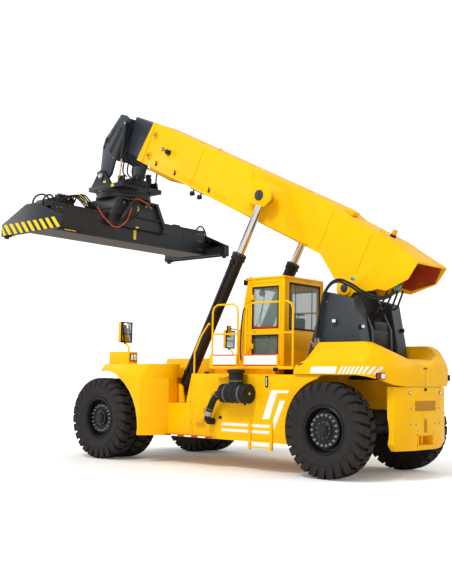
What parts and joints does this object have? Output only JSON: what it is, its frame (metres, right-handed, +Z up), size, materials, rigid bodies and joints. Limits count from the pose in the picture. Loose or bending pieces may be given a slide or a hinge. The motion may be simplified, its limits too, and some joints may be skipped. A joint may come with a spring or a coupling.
{
  "type": "reach stacker",
  "caption": "Container handler: telescopic boom over a rear cab, lift cylinders, turning spreader with telescoping arms, twin drive wheels and steered rear wheels.",
  "frame": {"origin": "on the ground under the middle of the whole machine's box", "axes": "+Z up, the machine faces -Y, +X is its left side"},
  "size_m": [6.06, 10.6165, 8.9347],
  "materials": {
    "yellow": "gloss enamel",
    "grey": "satin enamel",
    "black": "satin enamel",
    "tyre": "matte rubber",
    "chrome": "polished",
    "glass": "tinted",
    "cloth": "woven",
    "plastic": "moulded"
  },
  "bodies": {
    "chassis": {"air_cleaner": "plastic", "cab_platform": "yellow", "cab_roof": "yellow", "cab_shell": "yellow", "counterweight": "yellow", "drive_axle": "grey", "engine_block": "grey", "engine_hood": "yellow", "front_left_fender": "yellow", "front_right_fender": "yellow", "left_boom_tower": "grey", "left_front_rail": "yellow", "left_ladder_rail": "yellow", "left_mirror": "yellow", "left_rear_rail": "yellow", "left_step_frame": "yellow", "left_tank_box": "yellow", "main_frame": "yellow", "rear_window": "glass", "right_boom_tower": "grey", "right_mirror": "yellow", "right_rail": "yellow", "right_tank_box": "yellow", "right_window": "glass", "seat_back": "cloth", "seat_base": "plastic", "seat_cushion": "cloth", "steer_axle": "grey", "steering_column": "plastic", "windscreen": "glass"},
    "outer_boom": {"outer_boom": "yellow"},
    "extension": {"extension_boom": "grey", "boom_head": "grey", "damper_left_barrel": "black", "damper_right_barrel": "black"},
    "damper_left_rod": {"damper_left_rod": "chrome"},
    "damper_right_rod": {"damper_right_rod": "chrome"},
    "tilt_frame": {"tilt_frame": "grey"},
    "carriage": {"spreader_carriage": "grey"},
    "spreader_beam": {"spreader_beam": "grey"},
    "left_arm": {"left_spreader_arm": "grey"},
    "right_arm": {"right_spreader_arm": "grey"},
    "lift_left_barrel": {"lift_left_barrel": "black"},
    "lift_right_barrel": {"lift_right_barrel": "black"},
    "lift_left_rod": {"lift_left_rod": "chrome"},
    "lift_right_rod": {"lift_right_rod": "chrome"},
    "left_knuckle": {"rear_left_knuckle": "grey"},
    "right_knuckle": {"rear_right_knuckle": "grey"},
    "rear_left_wheel": {"rear_left_rim": "black", "rear_left_tyre": "tyre"},
    "rear_right_wheel": {"rear_right_rim": "black", "rear_right_tyre": "tyre"},
    "front_left_wheels": {"front_left_rim": "black", "front_left_outer_tyre": "tyre", "front_left_inner_tyre": "tyre"},
    "front_right_wheels": {"front_right_rim": "black", "front_right_outer_tyre": "tyre", "front_right_inner_tyre": "tyre"},
    "cab_door": {"cab_door": "yellow", "door_glass": "glass"}
  },
  "joints": [
    {"name": "boom_pitch", "type": "hinge", "parent": "chassis", "child": "outer_boom", "pos_m": [0, 3.47, 3.86], "axis": [-1, 0, 0], "range_deg": [-26.7, 33.3]},
    {"name": "boom_extension", "type": "slide", "parent": "outer_boom", "child": "extension", "axis": [0, 0.8934, -0.4493], "range_m": [-6.6, 0]},
    {"name": "spreader_tilt", "type": "hinge", "parent": "extension", "child": "tilt_frame", "pos_m": [0, -4.28771, 7.33077], "axis": [-1, 0, 0], "range_deg": [-33.3, 26.7]},
    {"name": "lift_left_barrel_swing", "type": "hinge", "parent": "chassis", "child": "lift_left_barrel", "pos_m": [1, -0.68, 1.66], "axis": [-1, 0, 0], "range_deg": [-7.06, 5.66]},
    {"name": "lift_left_rod_slide", "type": "slide", "parent": "lift_left_barrel", "child": "lift_left_rod", "axis": [0, 0.4781, 0.8783], "range_m": [-1.1614, 1.448]},
    {"name": "damper_left_rod_slide", "type": "slide", "parent": "extension", "child": "damper_left_rod", "axis": [0, -0.1455, -0.9894], "range_m": [-0.4093, 0.3284]},
    {"name": "lift_right_barrel_swing", "type": "hinge", "parent": "chassis", "child": "lift_right_barrel", "pos_m": [-1, -0.68, 1.66], "axis": [-1, 0, 0], "range_deg": [-7.06, 5.66]},
    {"name": "lift_right_rod_slide", "type": "slide", "parent": "lift_right_barrel", "child": "lift_right_rod", "axis": [0, 0.4781, 0.8783], "range_m": [-1.1614, 1.448]},
    {"name": "damper_right_rod_slide", "type": "slide", "parent": "extension", "child": "damper_right_rod", "axis": [0, -0.1455, -0.9894], "range_m": [-0.4093, 0.3284]},
    {"name": "spreader_slew", "type": "hinge", "parent": "tilt_frame", "child": "carriage", "pos_m": [0, -4.13, 6.7], "axis": [0, 0, 1], "range_deg": [-95, 185]},
    {"name": "spreader_side_shift", "type": "slide", "parent": "carriage", "child": "spreader_beam", "axis": [1, 0, 0], "range_m": [-0.8, 0.8]},
    {"name": "left_arm_slide", "type": "slide", "parent": "spreader_beam", "child": "left_arm", "axis": [1, 0, 0], "range_m": [0, 3.066]},
    {"name": "right_arm_slide", "type": "slide", "parent": "spreader_beam", "child": "right_arm", "axis": [-1, 0, 0], "range_m": [0, 3.066]},
    {"name": "left_steer", "type": "hinge", "parent": "chassis", "child": "left_knuckle", "pos_m": [1.15, 3.77, 0.95], "axis": [0, 0, 1], "range_deg": [-45, 45]},
    {"name": "right_steer", "type": "hinge", "parent": "chassis", "child": "right_knuckle", "pos_m": [-1.15, 3.77, 0.95], "axis": [0, 0, 1], "range_deg": [-45, 45]},
    {"name": "rear_left_spin", "type": "hinge", "parent": "left_knuckle", "child": "rear_left_wheel", "pos_m": [1.43, 3.77, 0.95], "axis": [1, 0, 0], "continuous": true},
    {"name": "rear_right_spin", "type": "hinge", "parent": "right_knuckle", "child": "rear_right_wheel", "pos_m": [-1.43, 3.77, 0.95], "axis": [1, 0, 0], "continuous": true},
    {"name": "front_left_spin", "type": "hinge", "parent": "chassis", "child": "front_left_wheels", "pos_m": [1.875, -2.43, 0.95], "axis": [1, 0, 0], "continuous": true},
    {"name": "front_right_spin", "type": "hinge", "parent": "chassis", "child": "front_right_wheels", "pos_m": [-1.875, -2.43, 0.95], "axis": [1, 0, 0], "continuous": true},
    {"name": "cab_door_swing", "type": "hinge", "parent": "chassis", "child": "cab_door", "pos_m": [0.745, 1.09, 3], "axis": [0, 0, -1], "range_deg": [0, 50]}
  ],
  "couplings": [
    {"joint": "spreader_tilt", "follows": "boom_pitch", "ratio": -1},
    {"joint": "lift_left_barrel_swing", "follows": "boom_pitch", "ratio": -0.2113},
    {"joint": "lift_left_rod_slide", "follows": "boom_pitch", "m_per_rad": 2.488},
    {"joint": "damper_left_rod_slide", "follows": "boom_pitch", "m_per_rad": -0.7025},
    {"joint": "lift_right_barrel_swing", "follows": "boom_pitch", "ratio": -0.2113},
    {"joint": "lift_right_rod_slide", "follows": "boom_pitch", "m_per_rad": 2.488},
    {"joint": "damper_right_rod_slide", "follows": "boom_pitch", "m_per_rad": -0.7025},
    {"joint": "right_arm_slide", "follows": "left_arm_slide", "ratio": 1},
    {"joint": "right_steer", "follows": "left_steer", "ratio": 1}
  ]
}
